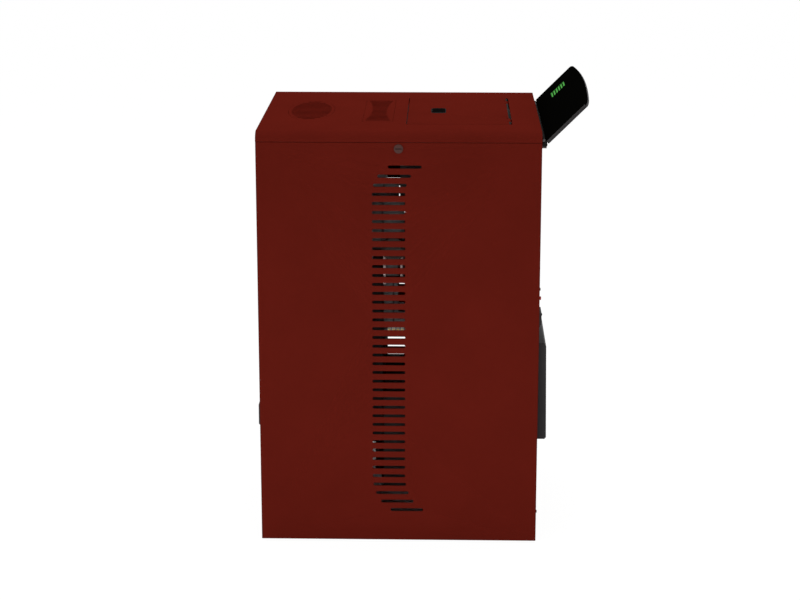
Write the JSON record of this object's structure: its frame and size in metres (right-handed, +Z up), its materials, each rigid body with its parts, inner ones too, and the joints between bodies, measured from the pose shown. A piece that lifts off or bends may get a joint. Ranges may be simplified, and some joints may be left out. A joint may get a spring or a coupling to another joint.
{
  "type": "pellet stove",
  "caption": "Free-standing pellet stove with louvred red side panels, lidded hopper, auger feed, glazed fire door, ash drawer, warm-air and smoke fans and a tilting display.",
  "frame": {"origin": "on the floor, under the middle of the whole outline, display and grip included", "axes": "front faces -Y, rear +Y, +Z up, the pictured side faces +X"},
  "size_m": [0.5632, 0.7333, 1.0144],
  "materials": {
    "red_enamel": "satin powder coat",
    "black_enamel": "matt heat-proof paint",
    "dark_plastic": "fine-grained moulding",
    "dark_metal": "dark zinc plating",
    "black_glass": "glossy black glass",
    "lit_screen": "green lit field",
    "ceramic_glass": "clear ceramic glass",
    "zinc_sheet": "galvanised sheet",
    "bare_steel": "satin steel",
    "cast_iron": "sand-cast, heat-proof paint",
    "fire_brick": "pressed vermiculite",
    "rope_seal": "woven glass-fibre rope",
    "brass": "sintered",
    "white_plastic": "smooth",
    "red_plastic": "smooth",
    "circuit_board": "lacquered board"
  },
  "bodies": {
    "casing": {"side_panel_right": "red_enamel", "side_panel_left": "red_enamel", "top_cover": "red_enamel", "front_top_grille": "red_enamel", "rear_top_grille": "red_enamel", "upper_front_panel": "red_enamel", "plinth_panel": "red_enamel", "rear_panel": "red_enamel", "front_frame": "black_enamel", "smoke_fan_motor": "black_enamel", "room_fan_motor": "black_enamel", "gearmotor": "black_enamel", "rear_fan_cover": "dark_plastic", "mains_inlet": "dark_plastic", "levelling_feet": "dark_metal", "display_hinge": "dark_metal", "base_tray": "zinc_sheet", "rear_frame": "zinc_sheet", "exchanger_hood": "zinc_sheet", "hot_air_duct": "zinc_sheet", "room_fan_housing": "zinc_sheet", "drawer_runners": "zinc_sheet", "door_catch": "zinc_sheet", "pressure_switch": "zinc_sheet", "hopper": "bare_steel", "lid_hinge": "bare_steel", "door_hinge_pins": "bare_steel", "flue_socket": "bare_steel", "air_intake": "bare_steel", "auger_tube": "bare_steel", "firebox": "cast_iron", "baffle": "cast_iron", "brazier_support": "cast_iron", "smoke_collector": "cast_iron", "smoke_fan_housing": "cast_iron", "firebox_liners": "fire_brick", "auger_bush": "brass", "safety_thermostat": "white_plastic", "igniter": "white_plastic", "control_board": "circuit_board"},
    "lid": {"hopper_lid": "red_enamel", "lid_pull_cup": "dark_plastic"},
    "display": {"display_frame": "dark_plastic", "display_glass": "black_glass", "display_screen": "lit_screen"},
    "fire_door": {"door_frame": "black_enamel", "door_glass": "ceramic_glass", "glass_retainer": "zinc_sheet", "door_gasket": "rope_seal", "door_handle": "dark_plastic"},
    "ash_drawer": {"drawer_front": "red_enamel", "ash_pan": "bare_steel"},
    "burn_pot": {"brazier": "cast_iron"},
    "auger": {"auger_screw": "bare_steel"},
    "smoke_wheel": {"smoke_fan_wheel": "bare_steel"},
    "room_wheel": {"room_fan_wheel": "bare_steel"},
    "rocker": {"power_switch": "dark_plastic"},
    "reset": {"reset_button": "red_plastic"},
    "lock_right": {"cam_lock_right": "dark_metal"},
    "lock_left": {"cam_lock_left": "dark_metal"}
  },
  "joints": [
    {"name": "lid_hinge", "type": "hinge", "parent": "casing", "child": "lid", "pos_m": [0, 0.19184, 0.936], "axis": [-1, 0, 0], "range_deg": [0, 95]},
    {"name": "display_tilt", "type": "hinge", "parent": "casing", "child": "display", "pos_m": [0, 0.26484, 0.913], "axis": [1, 0, 0], "range_deg": [-45, 30]},
    {"name": "door_hinge", "type": "hinge", "parent": "casing", "child": "fire_door", "pos_m": [-0.248, -0.35116, 0.467], "axis": [0, 0, -1], "range_deg": [0, 95]},
    {"name": "drawer_slide", "type": "slide", "parent": "casing", "child": "ash_drawer", "axis": [0, -1, 0], "range_m": [0, 0.2]},
    {"name": "burn_pot_lift", "type": "slide", "parent": "casing", "child": "burn_pot", "axis": [0, 0, 1], "range_m": [0, 0.07]},
    {"name": "auger_turn", "type": "hinge", "parent": "casing", "child": "auger", "pos_m": [0, 0.12984, 0.505], "axis": [0, -0.766, 0.6428], "continuous": true},
    {"name": "smoke_fan_turn", "type": "hinge", "parent": "casing", "child": "smoke_wheel", "pos_m": [-0.15, 0.07884, 0.154], "axis": [1, 0, 0], "continuous": true},
    {"name": "room_fan_turn", "type": "hinge", "parent": "casing", "child": "room_wheel", "pos_m": [0.04, 0.21584, 0.31], "axis": [0, 1, 0], "continuous": true},
    {"name": "rocker_turn", "type": "hinge", "parent": "casing", "child": "rocker", "pos_m": [0.213, 0.26334, 0.5085], "axis": [1, 0, 0], "range_deg": [0, 12]},
    {"name": "reset_press", "type": "slide", "parent": "casing", "child": "reset", "axis": [0, -1, 0], "range_m": [0, 0.003], "stiffness_N_per_m": 400},
    {"name": "lock_right_turn", "type": "hinge", "parent": "casing", "child": "lock_right", "pos_m": [0.28, -0.05116, 0.904], "axis": [1, 0, 0], "range_deg": [0, 90]},
    {"name": "lock_left_turn", "type": "hinge", "parent": "casing", "child": "lock_left", "pos_m": [-0.28, -0.05116, 0.904], "axis": [-1, 0, 0], "range_deg": [0, 90]}
  ]
}
